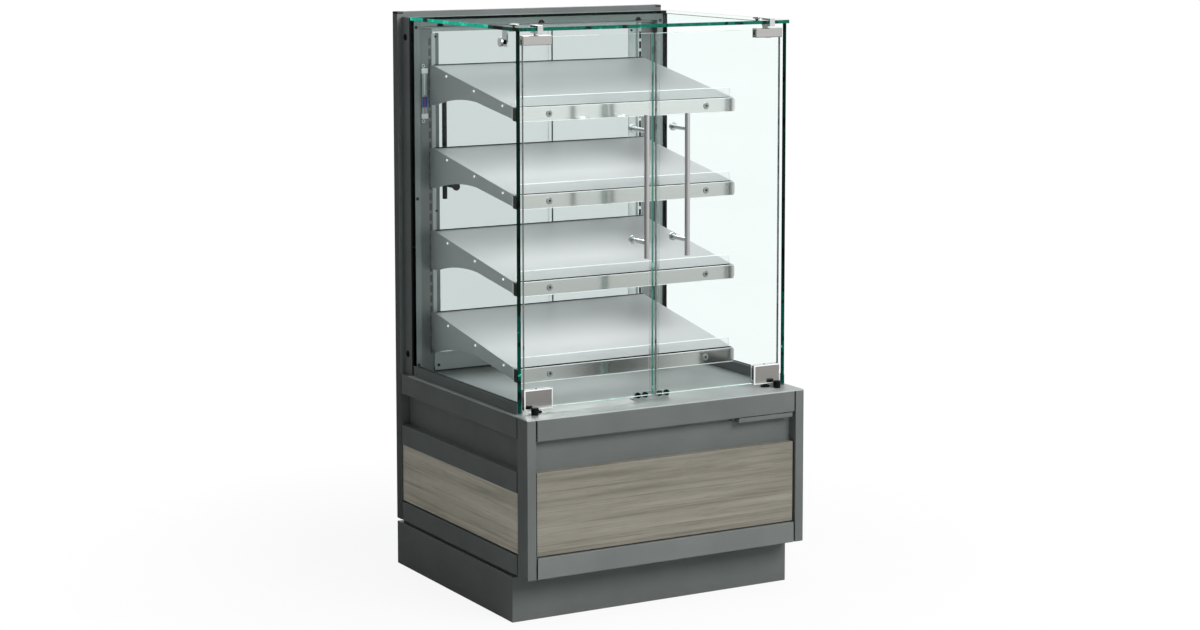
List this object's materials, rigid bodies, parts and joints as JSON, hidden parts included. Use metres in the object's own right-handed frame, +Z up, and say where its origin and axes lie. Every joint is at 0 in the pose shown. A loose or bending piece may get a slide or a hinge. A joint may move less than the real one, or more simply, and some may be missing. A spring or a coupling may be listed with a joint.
{
  "type": "heated self-service display case",
  "caption": "Free-standing heated display case: glass box on a panelled base, hinged front glass doors, sloping shelves with price rails, and a sliding rear service door.",
  "frame": {"origin": "on the floor, under the middle of the whole width and depth", "axes": "+Z up, +X to the right seen from the front, front faces -Y"},
  "size_m": [0.735, 0.728, 1.3535],
  "materials": {
    "base_metal": "satin grey powder coat",
    "frame_metal": "satin grey-green powder coat",
    "wood_panel": "matt greige oak laminate, grain across",
    "deck_steel": "glossy light grey",
    "shelf_steel": "satin",
    "heater_pack": "plain",
    "polished_steel": "polished",
    "glass": "clear, green at the edges",
    "clear_plastic": "clear",
    "black_rubber": "matt",
    "black_plastic": "matt",
    "white_plastic": "gloss"
  },
  "bodies": {
    "case": {"plinth": "base_metal", "base_pan": "base_metal", "front_post_l": "base_metal", "front_post_r": "base_metal", "fascia": "base_metal", "front_recess": "base_metal", "front_wood": "wood_panel", "front_rail": "base_metal", "side_frame_l": "base_metal", "side_frame_r": "base_metal", "side_wood_l": "wood_panel", "side_wood_r": "wood_panel", "deck": "deck_steel", "deck_heater": "heater_pack", "tray_guide": "shelf_steel", "glass_channels": "frame_metal", "portal": "frame_metal", "column_l": "frame_metal", "column_r": "frame_metal", "inner_beam": "frame_metal", "upright_l": "frame_metal", "upright_r": "frame_metal", "back_panel": "frame_metal", "gasket": "black_rubber", "rear_tracks": "frame_metal", "rear_fixed_glass": "glass", "service_panel": "base_metal", "control_box": "shelf_steel", "side_glass_l": "glass", "side_glass_r": "glass", "top_glass": "glass", "glass_connectors": "polished_steel", "top_clamps": "polished_steel", "bottom_pivots": "polished_steel", "door_stops": "black_rubber", "catch_bracket": "deck_steel", "thermometer": "white_plastic", "shelf_stops": "clear_plastic", "shelf_heaters": "heater_pack", "shelf_1": "shelf_steel", "price_rail_1": "polished_steel", "shelf_2": "shelf_steel", "price_rail_2": "polished_steel", "shelf_3": "shelf_steel", "price_rail_3": "polished_steel", "shelf_4": "shelf_steel", "price_rail_4": "polished_steel"},
    "door_left": {"door_glass_l": "glass", "door_patches_l": "polished_steel", "door_seal_l": "clear_plastic", "door_handle_l": "polished_steel"},
    "door_right": {"door_glass_r": "glass", "door_patches_r": "polished_steel", "door_seal_r": "clear_plastic", "door_handle_r": "polished_steel"},
    "rear_door": {"rear_door_glass": "glass", "rear_handle": "black_plastic"},
    "crumb_tray": {"tray": "shelf_steel"},
    "thermostat": {"thermostat_knob": "black_plastic"},
    "switch": {"power_switch": "black_plastic"}
  },
  "joints": [
    {"name": "door_left_swing", "type": "hinge", "parent": "case", "child": "door_left", "pos_m": [-0.305, -0.293, 0.9], "axis": [0, 0, 1], "range_deg": [-92, 0]},
    {"name": "door_right_swing", "type": "hinge", "parent": "case", "child": "door_right", "pos_m": [0.305, -0.293, 0.9], "axis": [0, 0, 1], "range_deg": [0, 92]},
    {"name": "rear_door_slide", "type": "slide", "parent": "case", "child": "rear_door", "axis": [1, 0, 0], "range_m": [0, 0.26]},
    {"name": "crumb_tray_slide", "type": "slide", "parent": "case", "child": "crumb_tray", "axis": [0, -1, 0], "range_m": [0, 0.15]},
    {"name": "thermostat_turn", "type": "hinge", "parent": "case", "child": "thermostat", "pos_m": [0.23, 0.3175, 0.37], "axis": [0, -1, 0], "range_deg": [0, 270]},
    {"name": "switch_rock", "type": "hinge", "parent": "case", "child": "switch", "pos_m": [0.15, 0.314, 0.37], "axis": [-1, 0, 0], "range_deg": [0, 16]}
  ]
}
